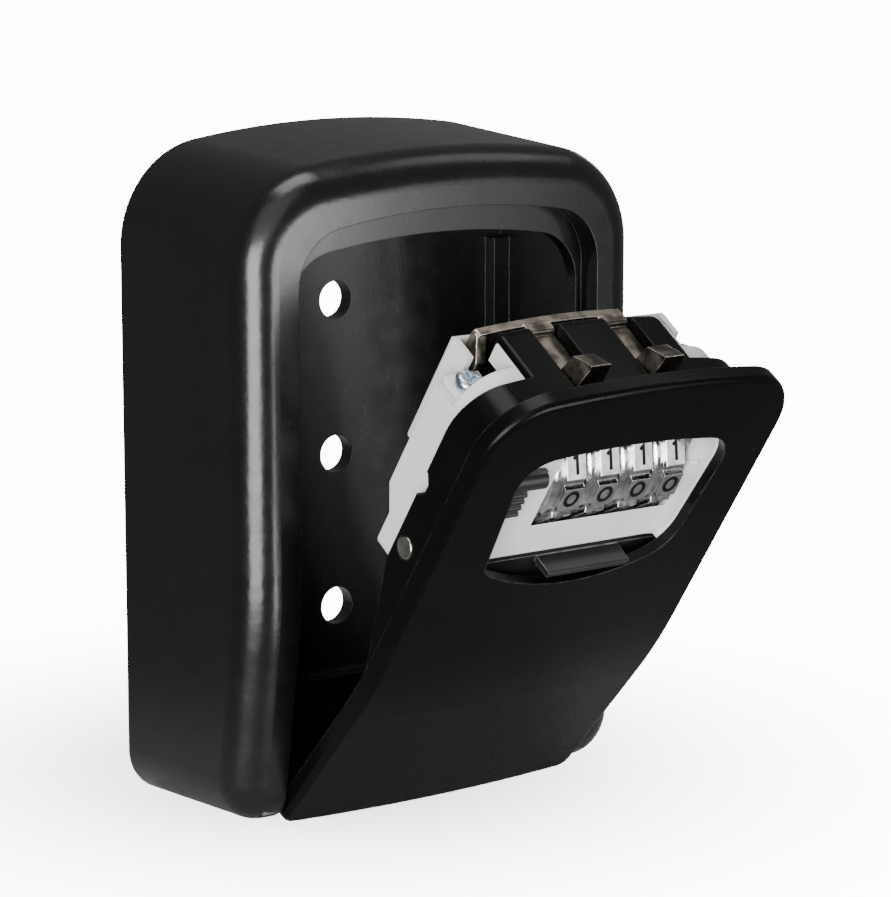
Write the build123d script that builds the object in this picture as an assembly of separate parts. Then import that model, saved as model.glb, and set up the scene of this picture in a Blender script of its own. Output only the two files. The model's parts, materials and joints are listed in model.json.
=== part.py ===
from build123d import *
from math import asin, cos, degrees, radians, sin, sqrt, tan
import os

# A wall key lock box: a die-cast housing, and a door that folds down about its foot and carries the lock.
# +X is to the right of someone who faces the box, -Y points out of the wall, +Z is up.
# Everything is drawn with the door closed and Z measured from the housing's bottom edge.
# The door's pieces are then turned open about the hinge, and all pieces are lowered so that the origin is
# the middle wall hole on the back face. "Setback" is the distance behind the front plane, towards the wall.

# Housing
WIDTH, HEIGHT, DEPTH = 88.0, 120.0, 38.8
SIDE_LEAN, TOP_LEAN, FOOT_LEAN = 0.04, 0.065, 0.02    # how far the walls lean in, per mm towards the front
TOP_ARCH, TOP_CORNER, FOOT_CORNER = 197.0, 18.4, 8.5
FRONT_BOW = 1.05                 # how far the middle of the front stands before its sides
BEND_Z, BEND_ANGLE, BEND_RADIUS = 39.0, 8.6, 100.0
RIM_FILLET, FOOT_FILLET = 6.6, 1.6
WALL, FLOOR_TOP = 3.2, 6.8
HOLE_RADIUS, HOLE_SPACING, HOLE_MID = 3.5, 28.7, 58.3

# Door opening and the ledge that the bolts catch behind
OPENING_HALF, OPENING_TOP, OPENING_ARCH, OPENING_CORNER = 32.7, 107.5, 143.0, 10.3
REBATE, LEDGE_BACK = 4.6, 7.4
LEDGE_HALF, LEDGE_TOP, LEDGE_CORNER = 31.4, 102.7, 9.6

# Door
GAP = 0.4
PLATE, SKIRT, DOOR_CORNER = 2.0, 3.3, 12.2
TRAY_HALF, TRAY_TOP, TRAY_WALL, TRAY_BACK = 30.4, 101.0, 2.0, 11.6
TRAY_TAPER_Z, TRAY_END_Z = 61.0, 34.0
OPEN_ANGLE = 34.5
HINGE_Y, HINGE_Z, HINGE_RADIUS, BARREL_RADIUS = -30.4, 3.2, 1.5, 2.8
ROOF_HALF, ROOF_UNDER, ROOF_BACK, ROOF_FRONT = 17.5, 91.4, 23.6, 4.7
GROOVE_IN, GROOVE_OUT, GROOVE_FLOOR, GROOVE_FRONT = 4.8, 11.0, 93.2, 7.2
RUN = 0.06                       # radial clearance of a turning fit
SLIP = 0.3                       # gap beside a sliding or swinging piece

# Dials
DIAL_SETBACK, DIAL_Z, DIAL_APOTHEM, FLANK_RADIUS = 11.4, 79.6, 10.0, 9.3
DIAL_COUNT, DIAL_PITCH, DIAL_WIDTH, DIAL_START = 4, 7.2, 6.9, -10.5
BAND_WIDTH, BAND_SHIFT, BAND_SIDES = 4.1, 0.55, 10
FACET_TILT = 3.0                 # degrees that the flat in the reading place looks up
DIAL_POCKET = 10.45
SPINDLE_RADIUS, SLEEVE_RADIUS, FLANGE_RADIUS, FLANGE = 1.6, 3.4, 4.6, 0.9

# Lever, latch and slider
PIN_SETBACK, PIN_Z, PIN_RADIUS = 8.8, 66.0, 1.3
BOLT_TOP, BOLT_BACK_TOP, BOLT_LENGTH, BOLT_BEVEL = 104.9, 103.3, 4.4, 1.3
FINGER_TOP, FINGER_UNDER = 98.7, 96.7
LATCH_FRONT, LATCH_BACK, LATCH_TOP, STEP_FRONT = 23.8, 25.4, 100.0, 22.0
LEG_FRONT, LEG_BACK, LEG_IN, LEG_OUT = 21.4, 23.4, 18.1, 20.0
ARM_IN, ARM_OUT = 23.6, 25.4

BOW_RADIUS = (OPENING_HALF**2 + FRONT_BOW**2) / (2 * FRONT_BOW)
DIAL_CENTRES = [DIAL_START + DIAL_PITCH * (number + 0.5) for number in range(DIAL_COUNT)]
DIAL_END = DIAL_START + DIAL_PITCH * DIAL_COUNT


def depth_y(setback):
    return setback - DEPTH


def block(x0, x1, s0, s1, z0, z1):
    """A box between two values of X, setback and Z."""
    middle = ((x0 + x1) / 2, depth_y((s0 + s1) / 2), (z0 + z1) / 2)
    return Pos(*middle) * Box(x1 - x0, s1 - s0, z1 - z0)


def rod(x0, x1, setback, z, radius):
    """A round bar along X."""
    return Pos((x0 + x1) / 2, depth_y(setback), z) * Rot(0, 90, 0) * Cylinder(radius, x1 - x0)


def post(x, setback, z0, z1, radius):
    """A round bar along Z."""
    return Pos(x, depth_y(setback), (z0 + z1) / 2) * Cylinder(radius, z1 - z0)


def both_sides(shape):
    return shape + mirror(shape, about=Plane.YZ)


def side_profile(points, x0, x1):
    """An outline of (setback, z) points, given thickness between two values of X."""
    flat = [(depth_y(setback), z) for setback, z in points]
    face = make_face(Polyline(*flat, close=True))
    return extrude(Plane.YZ.offset(x0) * face, amount=x1 - x0)


def slab(face, s0, s1, taper=0.0):
    """A flat outline of (x, z), given thickness between two setbacks. A taper shrinks it to the front."""
    return extrude(Plane.XZ.offset(DEPTH - s1) * face, amount=s1 - s0, taper=taper)


def arched(half, bottom, top, arch, corner, foot):
    """An outline with an arched top, rounded shoulders and rounded or square feet."""
    spring = top - arch + sqrt(arch**2 - half**2)
    outline = [
        Line((-half, bottom), (half, bottom)),
        Line((half, bottom), (half, spring)),
        ThreePointArc((half, spring), (0, top), (-half, spring)),
        Line((-half, spring), (-half, bottom)),
    ]
    face = make_face(outline)
    face = fillet(face.vertices().group_by(Axis.Y)[-1], corner)
    if foot:
        face = fillet(face.vertices().group_by(Axis.Y)[0], foot)
    return face


def front_zone(s0, s1):
    """The bowed, bent space between two setbacks from the front surface."""
    lean = tan(radians(BEND_ANGLE))
    low, high = -12.0, HEIGHT + 12.0
    fore, aft = depth_y(s0) - FRONT_BOW, depth_y(s1) - FRONT_BOW
    drop = (BEND_Z - low) * lean
    points = [(fore, high), (fore, BEND_Z), (fore + drop, low), (aft + drop, low), (aft, BEND_Z), (aft, high)]
    face = make_face(Polyline(*points, close=True))
    bends = face.vertices().filter_by(lambda corner: abs(corner.Y - BEND_Z) < 0.001)
    face = Plane.YZ * fillet(bends, BEND_RADIUS)
    centre = Axis((0, BOW_RADIUS - DEPTH - FRONT_BOW, 0), (0, 0, 1))
    sweep = 2 * degrees(asin(WIDTH / 2 / BOW_RADIUS)) + 2
    return revolve(face.rotate(centre, -sweep / 2), axis=centre, revolution_arc=sweep)


def rim_edges(body):
    """The edges between the front surface and the walls around it: those at the foot, and the others."""
    front = [face for face in body.faces() if face.normal_at().Y < -0.9]
    seen = [edge for face in front for edge in face.edges()]
    border = [edge for edge in seen if sum(edge.is_same(other) for other in seen) == 1]
    foot = [edge for edge in border if edge.center().Z < FOOT_CORNER / 2 and abs(edge.center().X) < 20]
    return foot, [edge for edge in border if edge not in foot]


def make_housing():
    reach = DEPTH + 5
    back = arched(WIDTH / 2, 0, HEIGHT, TOP_ARCH, TOP_CORNER, FOOT_CORNER)
    half, foot, top = WIDTH / 2 - SIDE_LEAN * reach, FOOT_LEAN * reach, HEIGHT - TOP_LEAN * reach
    front = arched(half, foot, top, TOP_ARCH, TOP_CORNER - 0.7, FOOT_CORNER - 0.3)
    body = loft([Plane.XZ * back, Plane.XZ.offset(reach) * front], ruled=True)
    body &= front_zone(0, 60)
    foot, rim = rim_edges(body)
    body = fillet(rim, RIM_FILLET)
    inside = extrude(Plane.XZ.offset(WALL) * arched(38.3, FLOOR_TOP, 115.6, 190, 15, 4), DEPTH, taper=1.2)
    body -= inside & front_zone(LEDGE_BACK, 60)
    body -= slab(arched(OPENING_HALF, -6, OPENING_TOP, OPENING_ARCH, OPENING_CORNER, 0), -4, 20) & front_zone(-4, REBATE)
    body -= slab(arched(LEDGE_HALF, -6, LEDGE_TOP, OPENING_ARCH, LEDGE_CORNER, 0), -4, 30) & front_zone(-4, LEDGE_BACK + 0.4)
    corner_rib = both_sides(Pos(36.6, -WALL - 1.2, 51) * Box(3.8, 3.2, 90))
    rear_step = Pos(0, -WALL - 1.2, (17 + FLOOR_TOP) / 2 - 0.5) * Box(77, 3.2, 17 - FLOOR_TOP + 1)
    body += corner_rib + rear_step
    for row in (-1, 0, 1):
        body -= Pos(0, -WALL, HOLE_MID + row * HOLE_SPACING) * Rot(90, 0, 0) * Cylinder(HOLE_RADIUS, 3 * WALL)
    body -= both_sides(rod(OPENING_HALF - 1, OPENING_HALF + 3.8, HINGE_Y + DEPTH, HINGE_Z, HINGE_RADIUS + RUN))
    stop_notch = Pos(20, -26.1, 2) * Box(6.4, 3.0, 6.3)
    return body - both_sides(stop_notch)


def ring(outer, inner, s0, s1):
    return slab(outer, s0, s1) - slab(inner, s0 - 1, s1 + 1)


def window_outline(grow=0.0):
    """The window: arched top, sides that close in a little downwards, and a bottom edge like a smile."""
    top, side, low = 94.3 + grow, 22.7 + grow, 67.2 - grow
    outline = [
        ThreePointArc((-side, 91.7), (0, top), (side, 91.7)),
        Line((side, 91.7), (side - 2.2, low)),
        ThreePointArc((side - 2.2, low), (0, 62.2 - grow), (2.2 - side, low)),
        Line((2.2 - side, low), (-side, 91.7)),
    ]
    face = make_face(outline)
    face = fillet(face.vertices().group_by(Axis.Y)[-1], 6.5 + grow)
    left, right = face.vertices().group_by(Axis.Y)[0].sort_by(Axis.X)
    face = fillet(left, 2.6)
    right = face.vertices().filter_by(lambda corner: corner.X > side - 2.5 and corner.Y < low + 0.01)
    return fillet(right, 8.0)


def window_cut():
    """The window through the plate, with a rolled lip on the plate's front."""
    opening = slab(window_outline(), -5, 4.2)
    lip = slab(window_outline(0.7), -5, 0) - front_zone(-0.05, 10)
    return opening + lip


def make_door():
    half, top = OPENING_HALF - GAP, OPENING_TOP - GAP
    outline = arched(half, 0.6, top, OPENING_ARCH, DOOR_CORNER, 2.7)
    tray_out = arched(TRAY_HALF, 12, TRAY_TOP, OPENING_ARCH, 9.4, 0)
    tray_in = arched(TRAY_HALF - TRAY_WALL, 4, TRAY_TOP - TRAY_WALL, OPENING_ARCH - TRAY_WALL, 7.6, 0)
    cover = slab(outline, -4, 30) & front_zone(0, SKIRT)
    front = [face for face in cover.faces() if face.normal_at().Y < -0.9]
    seen = [edge for face in front for edge in face.edges()]
    cover = fillet([edge for edge in seen if sum(edge.is_same(other) for other in seen) == 1], 1.1)
    cover -= slab(tray_in, -4, 30) & front_zone(PLATE, 30)
    walls = ring(tray_out, tray_in, PLATE + 0.4, TRAY_BACK)
    taper = [(TRAY_BACK, TRAY_TAPER_Z), (SKIRT - 0.4, TRAY_END_Z), (SKIRT - 0.4, 0), (30, 0), (30, TRAY_TAPER_Z)]
    walls -= side_profile(taper, -40, 40)
    walls &= front_zone(PLATE - 0.4, 60)
    notch = [(10.0, 77.6), (10.0, 79.2), (11.2, 80.8), (14, 80.8), (14, 76.0), (11.2, 76.0)]
    walls -= side_profile(notch, -40, 40)
    groove = block(GROOVE_IN, GROOVE_OUT, GROOVE_FRONT, 30, GROOVE_FLOOR, 110)
    door = cover + walls + make_roof() - both_sides(groove)
    barrel = rod(-30.9, 30.9, HINGE_Y + DEPTH, HINGE_Z, BARREL_RADIUS)
    stop = Pos(20, 3.6, 0.05) * Box(4.8, 3.2, 1.1)
    stops = Pos(0, HINGE_Y, HINGE_Z) * Rot(-20, 0, 0) * both_sides(stop)
    corner_relief = block(30.9, 34, HINGE_Y + DEPTH, 14, -1, 3.4)
    door += barrel + stops
    door -= both_sides(corner_relief)
    door -= both_sides(rod(22, 34, HINGE_Y + DEPTH, HINGE_Z, HINGE_RADIUS))
    door -= window_cut()
    door -= rod(-40, 40, PIN_SETBACK, PIN_Z, PIN_RADIUS)
    door -= both_sides(rod(TRAY_HALF - 0.9, 40, PIN_SETBACK, PIN_Z, 2.1))
    return door


def make_roof():
    """The roof behind the tray's top wall."""
    top = arched(ROOF_HALF, 80, TRAY_TOP, OPENING_ARCH, 1.2, 0)
    roof = slab(top, ROOF_FRONT, ROOF_BACK) & block(-30, 30, 0, 30, ROOF_UNDER, 110)
    roof = fillet(roof.edges().filter_by(lambda edge: edge.center().Y > depth_y(23.5) and edge.center().Z > 99), 2.2)
    return roof


def make_cove():
    """The hollow curve that rises from the dish to the window's right edge."""
    radius, width = 8.0, 4.6
    curve = Cylinder(radius, 50, align=(Align.MIN, Align.CENTER, Align.CENTER))
    cove = Pos(-radius, 0, 0) * (Pos(radius + 6, 2, 0) * Box(12, 4, 40) - Pos(0, 3.0 - radius, 0) * curve)
    place = Pos(22.9 - width, depth_y(0), 80) * Rot(0, 5.2, 0)
    return place * cove


def make_lock_body():
    """Grey shell: a dished front plate, a body inside the tray and shoulders behind the tray's walls."""
    body = slab(arched(28.0, 56.6, 98.6, 139, 7.2, 2), 0, 12.2) & front_zone(PLATE + 0.3, 60)
    body += slab(arched(27.6, 57.4, 100.4, 141, 8.8, 2), TRAY_BACK + 0.3, 20.9)
    body -= side_profile([(18, 50), (18, 65), (21, 69.5), (30, 69.5), (30, 50)], -30, 30)
    body -= slab(arched(26.7, 58.2, 96.8, 137, 6, 1), 4.4, 30)
    body -= block(-ROOF_HALF - SLIP, ROOF_HALF + SLIP, ROOF_FRONT - 0.1, 30, ROOF_UNDER - 0.2, 110)
    body -= slab(window_outline(0.4), -2, 3.0) - make_cove() - rod(18.6, 20.4, 2.7, 83.6, 0.55)
    body -= block(-26.7, 26.7, -2, 5.0, 50, 66.6)
    body += block(-23.2, 23.2, 5.0, 6.4, 57.4, 68.2)
    body += block(-23.2, 23.2, 3.0, 6.4, 66.6, 68.2)
    body += block(-23.2, 23.2, 6.0, 18.0, 57.4, 58.8) + block(-17.6, 17.6, 16.8, 18.0, 57.4, 64.8)
    spindle_walls = block(-13.2, -11.2, 4.0, 17, 73.5, 86) + block(18.9, 20.9, 4.0, 17, 73.5, 86)
    screw_posts = both_sides(post(23.2, 18.1, 80, 91.6, 2.5) + block(23.2, 27.2, 15.9, 20.4, 80, 91.6))
    body += spindle_walls + screw_posts
    body -= both_sides(block(18.2, 30, 15.3, 30, 91.6, 110))
    body -= rod(DIAL_START - 0.4, DIAL_END + 0.4, DIAL_SETBACK, DIAL_Z, DIAL_POCKET)
    body -= block(DIAL_START - 0.4, DIAL_END + 0.4, -2, 4.6, 84, 95.2)
    body -= rod(-30, 30, DIAL_SETBACK, DIAL_Z, SPINDLE_RADIUS)
    body -= rod(-30, 30, PIN_SETBACK, PIN_Z, PIN_RADIUS)
    body -= block(-19.3, -16.2, 2, 6, 76.1, 83.2)
    body -= both_sides(post(23.2, 18.1, 82, 99, 1.2))
    return body


def make_rear_cover():
    """Grey block behind the dials, open at the front and at the top, where the latch comes out."""
    shell = block(-22.8, 22.8, 21.0, 27.0, 74.5, 96.6)
    shell = fillet(shell.edges().filter_by(lambda edge: edge.center().Y > depth_y(26.8)), 1.2)
    shell -= block(-21.6, 21.6, 20, 25.9, 75.7, 110)
    shell -= block(-20.5, -17.6, 20, 25.9, 70, 80)
    shell += block(-16.4, -12.6, 23.2, 26.2, 83.0, 84.2) + block(6.0, 9.8, 23.2, 26.2, 83.0, 84.2)
    flange = block(19.2, 26.0, 15.7, 21.1, 91.7, 93.2) + block(21.6, 22.8, 21.0, 22, 88, 93.2)
    shell += both_sides(flange)
    return shell - both_sides(post(23.2, 18.1, 90, 95, 1.4))


def make_cover_screws():
    screw = post(23.2, 18.1, 84, 93.4, 1.2) + post(23.2, 18.1, 93.2, 94.9, 2.5)
    screw = fillet(screw.edges().group_by(Axis.Z)[-1], 0.9)
    recess = Pos(23.2, depth_y(18.1), 94.9)
    screw -= recess * Box(2.6, 0.6, 1.6) + recess * Box(0.6, 2.6, 1.6)
    return both_sides(screw)


def make_dial(centre):
    """A dial with smooth flanks and a raised band of flats. The flats are parted by finger notches."""
    flank = rod(centre - DIAL_WIDTH / 2, centre + DIAL_WIDTH / 2, DIAL_SETBACK, DIAL_Z, FLANK_RADIUS)
    flank = chamfer(flank.edges().filter_by(GeomType.CIRCLE), 0.5)
    middle = centre + BAND_SHIFT
    flats = RegularPolygon(DIAL_APOTHEM, BAND_SIDES, major_radius=False, rotation=18)
    notch_depth, notch_half = 1.0, 1.15
    corner = DIAL_APOTHEM / cos(radians(180 / BAND_SIDES))
    cut = make_face(Polyline((corner + 1, notch_half * 1.9), (corner - notch_depth, 0.25),
                             (corner - notch_depth, -0.45), (corner + 1, -notch_half * 1.3), close=True))
    for side in range(BAND_SIDES):
        flats -= Rot(0, 0, 360 / BAND_SIDES * side + 18) * cut
    face = Plane(origin=(middle - BAND_WIDTH / 2, depth_y(DIAL_SETBACK), DIAL_Z), x_dir=(0, -1, 0), z_dir=(1, 0, 0))
    dial = flank + extrude(face * Rot(0, 0, -FACET_TILT) * flats, BAND_WIDTH)
    dial -= rod(centre - 9, centre + 9, DIAL_SETBACK, DIAL_Z, SLEEVE_RADIUS)
    left = centre - DIAL_WIDTH / 2
    return dial - rod(left - 1, left + FLANGE, DIAL_SETBACK, DIAL_Z, FLANGE_RADIUS)


def make_sleeve(centre):
    """The code sleeve inside a dial: a bush with a flange that has one flat."""
    left, right = centre - DIAL_WIDTH / 2, centre + DIAL_WIDTH / 2
    sleeve = rod(left, right, DIAL_SETBACK, DIAL_Z, SLEEVE_RADIUS)
    sleeve += rod(left, left + FLANGE, DIAL_SETBACK, DIAL_Z, FLANGE_RADIUS)
    sleeve -= block(left - 1, left + FLANGE, 0, 40, DIAL_Z + 3.9, 100)
    return sleeve - rod(left - 1, right + 1, DIAL_SETBACK, DIAL_Z, SPINDLE_RADIUS + RUN)


def make_spindle():
    bar = chamfer(rod(-14.6, 22.3, DIAL_SETBACK, DIAL_Z, SPINDLE_RADIUS).edges().filter_by(GeomType.CIRCLE), 0.3)
    for x in (-13.9, 21.0):
        bar -= rod(x, x + 0.7, DIAL_SETBACK, DIAL_Z, 3) - rod(x, x + 0.7, DIAL_SETBACK, DIAL_Z, 1.2)
    return bar


def make_spindle_clips():
    clips = Part()
    for x in (-13.9, 21.0):
        clip = rod(x, x + 0.7, DIAL_SETBACK, DIAL_Z, 2.8) - rod(x - 1, x + 2, DIAL_SETBACK, DIAL_Z, 1.2)
        clips += clip - block(x - 1, x + 2, DIAL_SETBACK, DIAL_SETBACK + 4, DIAL_Z - 1.0, DIAL_Z + 1.0)
    return clips


def make_detent_spring():
    """Leaf spring under the dials, with a leg behind the grey wall and a raised tongue under each dial."""
    strip = block(DIAL_START, DIAL_END, 6.4, 16.4, 67.4, 67.8)
    strip += block(DIAL_START, DIAL_END, 6.4, 6.8, 59.2, 67.8)
    for centre in DIAL_CENTRES:
        strip += rod(centre - 1.4, centre + 1.4, 11.4, 68.0, 1.0)
        strip -= block(centre + 3.3, centre + 3.9, 9.0, 18, 66, 69)
    return strip


def make_lever():
    """Rocker on the cross pin: a half-moon front with a finger tab, and two arms back to the latch's feet."""
    front = slab(make_face(Polyline((-ARM_OUT, 58.6), (ARM_OUT, 58.6), (ARM_OUT, 63.6), (22.6, 63.9), (20.6, 65.0),
                                    (-20.6, 65.0), (-22.6, 63.9), (-ARM_OUT, 63.6), close=True)), 3.5, 4.8)
    tab = block(-5.4, 12.4, -0.8, 3.8, 63.6, 64.8)
    tab = fillet(tab.edges().filter_by(lambda edge: edge.center().Y < depth_y(-0.7)), 0.45)
    tab &= slab(window_outline(-0.35), -3, 5)
    gusset = side_profile([(3.6, 62.2), (3.6, 63.7), (2.1, 63.7)], -4.4, 11.4)
    ear_outline = [(3.5, 61.9), (3.5, 63.6), (6.2, 66.9), (8.8, 69.0), (11.2, 67.6), (11.2, 64.4), (8.8, 63.0), (5.0, 61.9)]
    arm_outline = ear_outline[:4] + [(12, 67.4), (19.6, 66.8), (19.7, 64.6), (12, 64.4)] + ear_outline[-2:]
    arms = side_profile(arm_outline, -ARM_OUT, -ARM_IN) + side_profile(ear_outline, ARM_IN, ARM_OUT)
    arms -= rod(-ARM_OUT - 1, ARM_OUT + 1, PIN_SETBACK, PIN_Z, PIN_RADIUS + RUN)
    return front + tab + gusset + arms


def make_lever_pin():
    pin = rod(-TRAY_HALF, TRAY_HALF, PIN_SETBACK, PIN_Z, PIN_RADIUS)
    head = rod(TRAY_HALF - 0.9, TRAY_HALF + 0.25, PIN_SETBACK, PIN_Z, 2.05)
    head = fillet(head.edges().group_by(Axis.X)[-1], 0.4)
    return pin + both_sides(head)


def make_latch():
    """Nickel strap at the back of the roof: a leg and foot at its left end, and two fingers that end in bolts."""
    end = GROOVE_OUT - 0.2
    strap = slab(arched(LEG_OUT, 90, LATCH_TOP, 141, 1.0, 0), LATCH_FRONT, LATCH_BACK) & block(-30, end, 0, 30, 90, 110)
    leg_outline = [(LEG_FRONT, 62.4), (LEG_FRONT, 94.5), (LATCH_FRONT, 98.4), (LATCH_FRONT + 0.8, 98.4),
                   (LATCH_FRONT + 0.8, 92.0), (LEG_BACK, 90.0), (LEG_BACK, 62.4)]
    leg = side_profile(leg_outline, -LEG_OUT, -LEG_IN)
    foot = block(-LEG_OUT, -LEG_IN, 17.8, LEG_BACK, 62.4, 64.3) + block(-ARM_OUT, -LEG_IN, 17.8, 19.7, 62.4, 64.3)
    fingers = Part()
    for side in (-1, 1):
        middle = side * (GROOVE_IN + GROOVE_OUT) / 2
        x0, x1 = middle - 2.8, middle + 2.8
        front, ramp_end = GROOVE_FRONT + 0.5, GROOVE_FRONT + 0.5 + BOLT_LENGTH
        finger = block(x0, x1, front, LATCH_FRONT + 0.5, FINGER_UNDER, FINGER_TOP)
        step = block(x0, x1, STEP_FRONT, LATCH_FRONT + 0.5, FINGER_UNDER, LATCH_TOP - middle**2 / 282)
        step = fillet(step.edges().filter_by(lambda edge: edge.center().Y < depth_y(22.1) and edge.center().Z > 99), 0.6)
        bolt = side_profile([(front, 97), (front, BOLT_TOP), (ramp_end, BOLT_BACK_TOP), (ramp_end + 0.8, 97)], x0, x1)
        bolt = fillet(bolt.edges().filter_by(lambda edge: edge.center().Z > 102 and edge.center().X > x1 - 0.1), 0.3)
        bevel = make_face(Polyline((x0 - 1, FINGER_TOP + 0.6), (x0, FINGER_TOP + 0.6), (x0 + BOLT_BEVEL, BOLT_TOP - 1),
                                   (x0 + BOLT_BEVEL, 110), (x0 - 1, 110), close=True))
        fingers += finger + step + (bolt - slab(bevel, 0, 30))
    return strap + leg + foot + fingers


def make_latch_springs():
    """Two coils between the rear cover's shelves and the strap's lower edge."""
    wire, coil, low, high = 0.22, 0.72, 84.2, 90.0
    turns = 5
    springs = Part()
    for x in (-14.5, 7.9):
        pitch = (high - low - 2 * wire) / turns
        path = Helix(pitch, high - low - 2 * wire, coil)
        section = Plane(origin=path @ 0, z_dir=path % 0) * Circle(wire)
        springs += Pos(x, depth_y(24.6), low + wire) * sweep(section, path=path, is_frenet=True)
    return springs


def make_slider():
    """Thumb slider left of the dials: a round bar above a pad with cross ribs, and a stem through its slot."""
    x0, x1 = -20.6, -16.9
    slider = block(x0, x1, 1.7, 2.8, 77.7, 84.1)
    for rib in range(4):
        slider += rod(x0, x1, 1.75, 78.4 + 1.45 * rib, 0.5)
    bar = block(x0, -14.2, 1.9, 2.8, 83.5, 87.5) + rod(x0, -14.2, 2.3, 85.5, 1.7)
    bar &= block(-30, 0, 0, 2.8, 79, 89)
    return slider + bar + block(-19.0, -16.5, 2.5, 5.7, 79.5, 82.9)


def make_slider_clip():
    clip = block(-20.9, -14.6, 4.6, 5.2, 78.5, 84.0)
    return clip - block(-19.0, -16.5, 4, 6, 79.5, 82.9)


def make_hinge_pins():
    pin = rod(24, OPENING_HALF + 3.4, HINGE_Y + DEPTH, HINGE_Z, HINGE_RADIUS)
    return both_sides(chamfer(pin.edges().filter_by(GeomType.CIRCLE), 0.3))


def open_door(shape):
    """Turn a piece of the closed door to the open position."""
    return Pos(0, HINGE_Y, HINGE_Z) * Rot(OPEN_ANGLE, 0, 0) * Pos(0, -HINGE_Y, -HINGE_Z) * shape


def main():
    door_pieces = {
        "door": make_door(),
        "hinge_pins": make_hinge_pins(),
        "lock_body": make_lock_body(),
        "lock_rear_cover": make_rear_cover(),
        "cover_screws": make_cover_screws(),
        "dial_spindle": make_spindle(),
        "spindle_clips": make_spindle_clips(),
        "detent_spring": make_detent_spring(),
        "lever_pin": make_lever_pin(),
        "release_lever": make_lever(),
        "latch": make_latch(),
        "latch_springs": make_latch_springs(),
        "code_slider": make_slider(),
        "slider_clip": make_slider_clip(),
    }
    for number, centre in enumerate(DIAL_CENTRES, start=1):
        door_pieces[f"dial_{number}"] = make_dial(centre)
        door_pieces[f"code_sleeve_{number}"] = make_sleeve(centre)
    pieces = {"housing": make_housing()}
    pieces.update({name: open_door(shape) for name, shape in door_pieces.items()})
    os.makedirs("parts", exist_ok=True)
    for name, shape in pieces.items():
        export_step(Pos(0, 0, -HOLE_MID) * shape, f"parts/{name}.step")


main()
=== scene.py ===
import bpy
import bmesh
import json
import math
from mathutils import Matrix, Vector


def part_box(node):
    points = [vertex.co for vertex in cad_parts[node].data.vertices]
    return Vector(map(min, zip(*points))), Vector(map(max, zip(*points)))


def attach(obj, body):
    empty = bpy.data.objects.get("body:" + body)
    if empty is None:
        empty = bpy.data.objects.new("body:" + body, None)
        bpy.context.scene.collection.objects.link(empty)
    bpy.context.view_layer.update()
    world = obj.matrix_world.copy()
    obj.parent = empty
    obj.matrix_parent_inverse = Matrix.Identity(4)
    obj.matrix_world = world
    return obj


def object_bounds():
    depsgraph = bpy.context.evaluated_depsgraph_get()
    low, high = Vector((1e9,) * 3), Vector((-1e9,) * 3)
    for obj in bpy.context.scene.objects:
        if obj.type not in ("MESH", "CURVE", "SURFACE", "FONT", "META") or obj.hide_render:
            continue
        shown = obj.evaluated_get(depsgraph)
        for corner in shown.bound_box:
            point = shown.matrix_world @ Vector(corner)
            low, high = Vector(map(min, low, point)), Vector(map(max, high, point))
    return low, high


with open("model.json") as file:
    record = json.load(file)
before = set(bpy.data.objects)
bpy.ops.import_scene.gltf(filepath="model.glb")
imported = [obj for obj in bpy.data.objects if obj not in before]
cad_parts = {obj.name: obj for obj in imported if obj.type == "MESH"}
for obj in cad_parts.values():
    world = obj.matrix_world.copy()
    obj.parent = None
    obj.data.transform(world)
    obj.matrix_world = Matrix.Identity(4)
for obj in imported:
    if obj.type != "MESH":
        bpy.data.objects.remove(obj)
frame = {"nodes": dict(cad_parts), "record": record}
cad_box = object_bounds()
nodes = frame["nodes"]
record = frame["record"]
joints = {joint["name"]: joint for joint in record["behaviour"]["joints"]}
scene = bpy.context.scene
MM = 0.001


def add_object(name, data):
    """An object in the scene that shows data."""
    added = bpy.data.objects.new(name, data)
    scene.collection.objects.link(added)
    return added


# ---- camera -------------------------------------------------------------------------------------------
# The camera stands left of the front by AZIMUTH and above the middle by ELEVATION, in degrees.
AZIMUTH, ELEVATION, DISTANCE = 37.1, 10.56, 0.6414
TARGET = Vector((0.0082, -0.0258, 0.0034))
LENS, SENSOR = 142.3, 36.0

camera_data = bpy.data.cameras.new("camera")
camera_data.lens, camera_data.sensor_width = LENS, SENSOR
camera = add_object("camera", camera_data)
azimuth, elevation = math.radians(AZIMUTH), math.radians(ELEVATION)
back = Vector((
    -math.sin(azimuth) * math.cos(elevation),
    -math.cos(azimuth) * math.cos(elevation),
    math.sin(elevation),
))
camera.location = TARGET + back * DISTANCE
camera.rotation_mode = "QUATERNION"
camera.rotation_quaternion = (-back).to_track_quat("-Z", "Y")
scene.camera = camera


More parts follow.
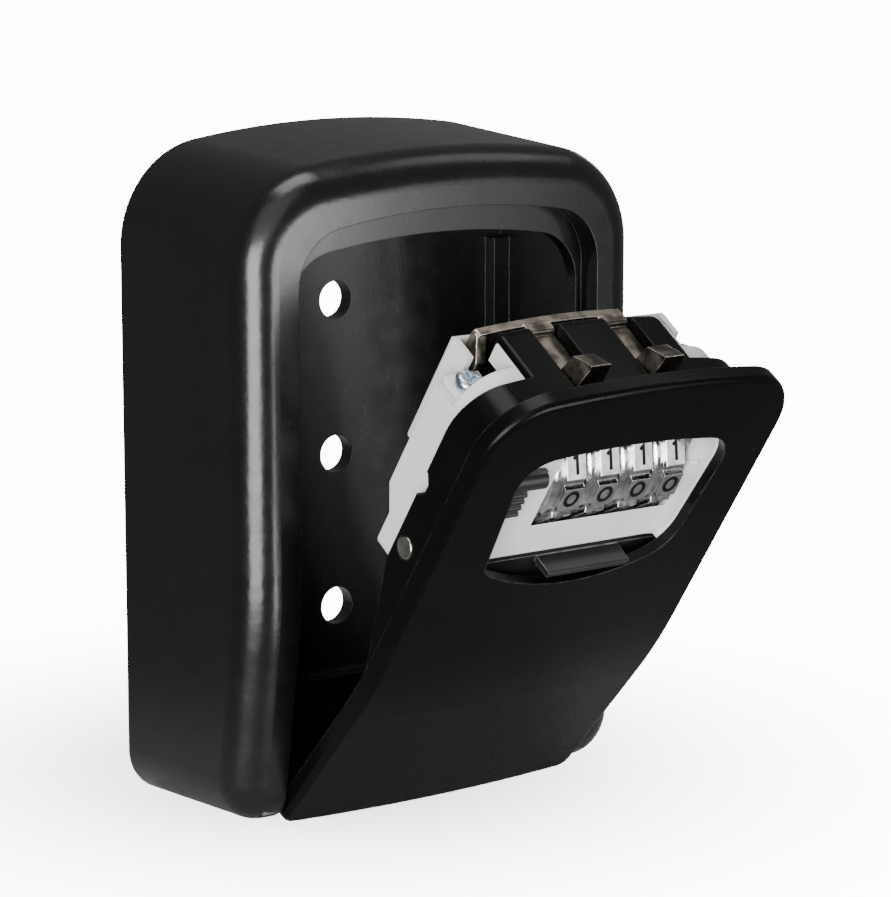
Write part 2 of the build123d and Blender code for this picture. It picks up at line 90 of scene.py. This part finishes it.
# ---- materials ----------------------------------------------------------------------------------------
class Shader:
    """A material's node tree, with short names for the nodes used here."""

    def __init__(self, name):
        self.material = bpy.data.materials.new(name)
        self.material.use_nodes = True
        self.tree = self.material.node_tree
        self.surface = self.tree.nodes["Principled BSDF"]
        self.place = self.node("ShaderNodeTexCoord").outputs["Object"]

    def node(self, kind, settings=(), **inputs):
        """A new node; in the names of its inputs, _ stands for a space."""
        node = self.tree.nodes.new(kind)
        for key, value in dict(settings).items():
            setattr(node, key, value)
        for key, value in inputs.items():
            self.feed(node.inputs[key.replace("_", " ")], value)
        return node

    def feed(self, socket, value):
        """Link socket to another node's output, or set it to a constant."""
        if isinstance(value, bpy.types.NodeSocket):
            self.tree.links.new(value, socket)
        else:
            socket.default_value = value

    def noise(self, scale, detail, stretch=(1, 1, 1)):
        """Noise of scale waves per metre, drawn out by stretch."""
        place = self.node("ShaderNodeMapping", Vector=self.place, Scale=stretch).outputs["Vector"]
        return self.node("ShaderNodeTexNoise", Vector=place, Scale=scale, Detail=detail).outputs["Fac"]

    def span(self, value, low, high, to_low=0.0, to_high=1.0):
        """Ease value from low..high into to_low..to_high."""
        settings = {"interpolation_type": "SMOOTHSTEP"}
        return self.node("ShaderNodeMapRange", settings, Value=value, From_Min=low, From_Max=high,
                         To_Min=to_low, To_Max=to_high).outputs["Result"]

    def mix(self, fac, a, b):
        """The colour between a and b. The node's input 0 is the factor, and 6 and 7 are its colours."""
        node = self.node("ShaderNodeMix", {"data_type": "RGBA"})
        for number, value in ((0, fac), (6, a), (7, b)):
            self.feed(node.inputs[number], value)
        return node.outputs[2]

    def times(self, a, b):
        node = self.node("ShaderNodeMath", {"operation": "MULTIPLY"})
        self.feed(node.inputs[0], a)
        self.feed(node.inputs[1], b)
        return node.outputs[0]

    def soft_normal(self, radius):
        """The normal as if each edge were rounded by radius."""
        return self.node("ShaderNodeBevel", {"samples": 6}, Radius=radius).outputs["Normal"]

    def edges(self, radius, low, high):
        """1 on the object's outer and inner edges, 0 on its faces."""
        soft = self.soft_normal(radius)
        hard = self.node("ShaderNodeNewGeometry").outputs["Normal"]
        dot = self.node("ShaderNodeVectorMath", {"operation": "DOT_PRODUCT"})
        self.feed(dot.inputs[0], soft)
        self.feed(dot.inputs[1], hard)
        return self.span(dot.outputs["Value"], high, low)

    def relief(self, height, distance, edge=0.25 * MM):
        """Bumps of up to distance where height is 1, and edges that look rounded by edge."""
        soft = self.soft_normal(edge)
        bump = self.node("ShaderNodeBump", Height=height, Distance=distance, Strength=1.0, Normal=soft)
        self.feed(self.surface.inputs["Normal"], bump.outputs["Normal"])

    def finish(self, color, roughness, metal=0.0, **constants):
        """The material, once its surface has its inputs; in the names of constants, _ stands for a space."""
        self.feed(self.surface.inputs["Base Color"], color)
        self.feed(self.surface.inputs["Roughness"], roughness)
        self.feed(self.surface.inputs["Metallic"], metal)
        for key, value in constants.items():
            self.surface.inputs[key.replace("_", " ")].default_value = value
        return self.material


def rgb(*values):
    """An opaque colour."""
    return (*values, 1.0)


# Pale grey painted on edges: partly rubbed wear, partly a painted highlight.
RUBBED_AND_SHEEN = rgb(0.20, 0.20, 0.20)
ORANGE_PEEL = 0.014 * MM


def coated(name, dark, light, rough, orange, specular, worn_and_sheen):
    """Satin powder coat: a skin with an orange-peel noise, faint cloudiness, and edges made paler by the
    last argument, partly rubbed wear and partly a painted highlight along the edges.
    """
    s = Shader(name)
    cloud = s.span(s.noise(70, 5), 0.3, 0.7)
    color = s.mix(cloud, rgb(*dark), rgb(*light))
    roughness = s.span(s.noise(260, 3), 0.3, 0.7, rough - 0.02, rough + 0.03)
    # Edge mask for the pale grey: partly rubbed wear, partly a painted highlight along the edges.
    rub_and_sheen = s.times(s.edges(0.4 * MM, 0.80, 0.985), s.span(s.noise(420, 4), 0.36, 0.62, 0.25, 1.0))
    color = s.mix(s.times(rub_and_sheen, worn_and_sheen), color, RUBBED_AND_SHEEN)
    s.relief(s.noise(orange, 3), ORANGE_PEEL)
    return s.finish(color, roughness, Specular_IOR_Level=specular,
                    Coat_Weight=specular * 0.2, Coat_Roughness=0.2)


def moulded(name, low, high, rough, grain, specular=0.4):
    """Matt plastic with a fine grain."""
    s = Shader(name)
    color = s.mix(s.span(s.noise(140, 6), 0.25, 0.75), rgb(*low), rgb(*high))
    s.relief(s.noise(grain, 3), 0.02 * MM, 0.3 * MM)
    roughness = s.span(s.noise(500, 2), 0.3, 0.7, rough - 0.06, rough + 0.06)
    return s.finish(color, roughness, Specular_IOR_Level=specular)


def plated(name, low, high, rough, bright, spread, brushed=(1, 1, 1)):
    """Plated or drawn metal: mottled tone, fine marks, and brighter edges unless bright is None."""
    s = Shader(name)
    color = s.mix(s.span(s.noise(spread, 5), 0.34, 0.66), rgb(*low), rgb(*high))
    if bright:
        color = s.mix(s.edges(0.35 * MM, 0.75, 0.97), color, rgb(*bright))
    s.relief(s.noise(1800, 4, brushed), 0.012 * MM, 0.2 * MM)
    roughness = s.span(s.noise(spread * 1.7, 3), 0.3, 0.7, rough - 0.05, rough + 0.08)
    return s.finish(color, roughness, 1.0)


# For coated finishes the last number is how strongly the edges are painted pale, partly as wear and partly
# as a painted highlight.
FINISHES = {
    "black_casting": (coated, (0.0020, 0.0021, 0.0024), (0.0028, 0.0029, 0.0032), 0.25, 1500, 0.48, 0.08),
    "black_casting_door": (coated, (0.0014, 0.0015, 0.0016), (0.0019, 0.0020, 0.0021), 0.26, 1900, 0.11,
                           0.25),
    "grey_shell": (moulded, (0.60, 0.62, 0.585), (0.67, 0.68, 0.65), 0.46, 2600),
    "dial_chrome": (plated, (0.52, 0.53, 0.55), (0.78, 0.79, 0.81), 0.12, (0.95, 0.95, 0.96), 420),
    "dark_nickel": (plated, (0.085, 0.072, 0.060), (0.36, 0.315, 0.26), 0.32, (0.85, 0.80, 0.72), 330),
    "black_lever": (coated, (0.007, 0.0074, 0.0085), (0.012, 0.0126, 0.014), 0.32, 2100, 0.34, 0.75),
    "black_plastic": (coated, (0.008, 0.008, 0.009), (0.014, 0.014, 0.0155), 0.36, 2800, 0.40, 0.35),
    "zinc_screw": (plated, (0.40, 0.50, 0.58), (0.66, 0.75, 0.82), 0.22, (0.85, 0.92, 0.97), 500),
    "nickel_pin": (plated, (0.34, 0.325, 0.30), (0.60, 0.58, 0.54), 0.20, (0.9, 0.88, 0.84), 480),
    "steel": (plated, (0.40, 0.40, 0.41), (0.62, 0.62, 0.63), 0.26, None, 380, (8, 1, 1)),
    "spring_steel": (plated, (0.28, 0.28, 0.29), (0.46, 0.46, 0.47), 0.30, None, 420, (1, 1, 6)),
}
finishes = {slot: make(slot, *look) for slot, (make, *look) in FINISHES.items()}
for subpart in record["subparts"]:
    materials = nodes[subpart["node"]].data.materials
    materials.clear()
    materials.append(finishes[subpart["material_slot"]])

ink = moulded("number_ink", (0.003, 0.003, 0.003), (0.007, 0.007, 0.0065), 0.55, 2600, 0.12)

# ---- numbers on the dials -----------------------------------------------------------------------------
FACETS, APOTHEM = 10, 10.0 * MM  # each dial's band has a number on every one of its flats
FACET_TILT = 3.0  # degrees from the door's outward direction up to the flat with 0
BAND_SHIFT = 0.55 * MM  # from the middle of the dial's box to the middle of its band
DIGIT_WIDTH, DIGIT_HEIGHT, DIGIT_RISE = 2.35 * MM, 2.3 * MM, 0.15 * MM
STROKE, INK_LIFT = 0.29, 0.02 * MM  # the stroke is in the units of NUMBERS
TOUCHING = 1e-6  # a stroke whose ends are this close is closed
NARROWEST = 0.5  # limits how far a stroke's sharp corner reaches out
across = Vector((1, 0, 0))
up = Vector(joints["latch_slide"]["axis"])
out = across.cross(up)


def arc(cx, cy, rx, ry, start, end, steps=14):
    """Points along an ellipse's arc, from start to end in degrees."""
    angles = [math.radians(start + (end - start) * step / steps) for step in range(steps + 1)]
    return [(cx + rx * math.cos(angle), cy + ry * math.sin(angle)) for angle in angles]


# Each number is a list of strokes, drawn in a space about 1.1 wide and 1.5 high round its centre.
NUMBERS = [
    [arc(0, 0, 0.52, 0.60, 0, 360, 28)],
    [[(-0.26, 0.44), (0.06, 0.70), (0.06, -0.72)]],
    [arc(0, 0.30, 0.42, 0.42, 165, -35) + [(-0.46, -0.70), (0.48, -0.70)]],
    [arc(-0.04, 0.35, 0.40, 0.37, 150, -90), arc(-0.04, -0.34, 0.44, 0.38, 90, -150)],
    [[(0.20, -0.72), (0.20, 0.72), (-0.50, -0.30), (0.50, -0.30)]],
    [[(0.42, 0.70), (-0.34, 0.70), (-0.40, 0.08)] + arc(-0.02, -0.24, 0.46, 0.46, 130, -150)],
    [arc(0, -0.28, 0.44, 0.44, 0, 360, 24), arc(0.34, -0.20, 0.78, 0.92, 175, 95)],
    [[(-0.46, 0.70), (0.46, 0.70), (-0.12, -0.72)]],
    [arc(0, 0.36, 0.36, 0.35, 0, 360, 22), arc(0, -0.36, 0.44, 0.38, 0, 360, 22)],
    [arc(0, 0.28, 0.44, 0.44, 0, 360, 24), arc(-0.34, 0.20, 0.78, 0.92, -5, -85)],
]


def ribbon(mesh, points, width, place):
    """A flat stroke of even width along points, put in space by place(x, y)."""
    path = [Vector(point) for point in points]
    closed = (path[0] - path[-1]).length < TOUCHING
    if closed:
        path = path[:-1]
    rows, count = [], len(path)
    for index, point in enumerate(path):
        before = path[index - 1] if index or closed else point
        after = path[(index + 1) % count] if index < count - 1 or closed else point
        into, away = point - before, after - point
        into = into.normalized() if into.length else away.normalized()
        away = away.normalized() if away.length else into
        side = Vector((-(into + away).y, (into + away).x)).normalized()
        reach = width / 2 / max(NARROWEST, side.dot(Vector((-into.y, into.x))))
        ends = [point + side * reach, point - side * reach]
        rows.append([mesh.verts.new(place(*end)) for end in ends])
    pairs = zip(rows, rows[1:] + rows[:1]) if closed else zip(rows, rows[1:])
    for (a, b), (c, d) in pairs:
        mesh.faces.new((a, b, d, c))


def number_dial(name):
    """The ten numbers of one dial, as flat strokes just proud of its flats."""
    low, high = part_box(name)
    axis = Vector(joints[f"{name}_turn"]["pos_m"])
    middle = Vector(((low.x + high.x) / 2 + BAND_SHIFT, axis.y, axis.z))
    mesh = bmesh.new()
    for digit, strokes in enumerate(NUMBERS):
        angle = math.radians(FACET_TILT + 360 / FACETS * digit)
        normal = out * math.cos(angle) + up * math.sin(angle)
        rise = up * math.cos(angle) - out * math.sin(angle)
        centre = middle + normal * (APOTHEM + INK_LIFT) + rise * DIGIT_RISE

        def place(x, y):
            return centre + across * (x * DIGIT_WIDTH) + rise * (y * DIGIT_HEIGHT)

        for stroke in strokes:
            ribbon(mesh, stroke, STROKE, place)
    bmesh.ops.recalc_face_normals(mesh, faces=mesh.faces)
    data = bpy.data.meshes.new(f"{name}_numbers")
    mesh.to_mesh(data)
    mesh.free()
    numbers = add_object(f"{name}_numbers", data)
    data.materials.append(ink)
    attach(numbers, name)


for index in range(1, 5):
    number_dial(f"dial_{index}")

# ---- floor and light ----------------------------------------------------------------------------------
FLOOR_REACH, FLOOR_GAP = 0.26, 0.3 * MM
FADE_FROM, FADE_TO = 0.035, 0.150
SURROUND, BACKDROP = 0.18, 14.0  # strength of the world as a light, and as the camera sees it

level = cad_box[0].z - FLOOR_GAP
sides = ((-1, -1), (1, -1), (1, 1), (-1, 1))
floor_data = bpy.data.meshes.new("floor")
floor_data.from_pydata([(FLOOR_REACH * x, FLOOR_REACH * y, level) for x, y in sides], [], [(0, 1, 2, 3)])
floor = add_object("floor", floor_data)
pale = Shader("pale_floor")
tone = pale.mix(pale.span(pale.noise(3, 2), 0.3, 0.7), rgb(0.80, 0.80, 0.80), rgb(0.84, 0.84, 0.84))
floor_data.materials.append(pale.finish(tone, 0.9, Specular_IOR_Level=0.1))
# The floor thins out to nothing well before its edge, so that it meets the white surround without a line.
distance = pale.node("ShaderNodeVectorMath", {"operation": "LENGTH"})
pale.feed(distance.inputs[0], pale.place)
pale.feed(pale.surface.inputs["Alpha"], pale.span(distance.outputs["Value"], FADE_TO, FADE_FROM))

world = bpy.data.worlds.new("world")
scene.world = world
world.use_nodes = True
tree = world.node_tree
surround = tree.nodes["Background"]
backdrop = tree.nodes.new("ShaderNodeBackground")
for background, strength in ((surround, SURROUND), (backdrop, BACKDROP)):
    background.inputs["Color"].default_value = rgb(1, 1, 1)
    background.inputs["Strength"].default_value = strength
chooser = tree.nodes.new("ShaderNodeMixShader")
tree.links.new(tree.nodes.new("ShaderNodeLightPath").outputs["Is Camera Ray"], chooser.inputs["Fac"])
tree.links.new(surround.outputs[0], chooser.inputs[1])
tree.links.new(backdrop.outputs[0], chooser.inputs[2])
tree.links.new(chooser.outputs[0], tree.nodes["World Output"].inputs["Surface"])


def softbox(name, place, target, size, power):
    """A rectangular lamp of size at place, turned to target; power is in watts."""
    data = bpy.data.lights.new(name, "AREA")
    data.shape = "RECTANGLE"
    data.size, data.size_y = size
    data.energy = power
    lamp = add_object(name, data)
    lamp.location = place
    lamp.rotation_mode = "QUATERNION"
    lamp.rotation_quaternion = (Vector(target) - Vector(place)).to_track_quat("-Z", "Y")


softbox("key", (-0.60, -0.62, 0.70), (0, -0.03, 0), (1.10, 1.10), 4.0)
softbox("left", (-0.74, -0.56, 0.02), (0, -0.02, 0.02), (0.55, 0.60), 15.0)
softbox("overhead", (0.0, -0.05, 0.90), (0, -0.05, 0), (0.50, 0.50), 4.0)
softbox("top_right", (0.50, -0.14, 0.66), (0, -0.03, 0.02), (0.30, 0.30), 0.4)
softbox("front", (0.22, -0.88, -0.14), (0, -0.06, 0.02), (0.45, 0.45), 7.0)
softbox("front_right", (0.58, -0.78, 0.0), (0, -0.03, 0.02), (0.26, 0.30), 0.35)
softbox("behind_right", (0.75, 0.57, -0.08), (0, -0.03, 0.02), (0.10, 0.60), 1.6)
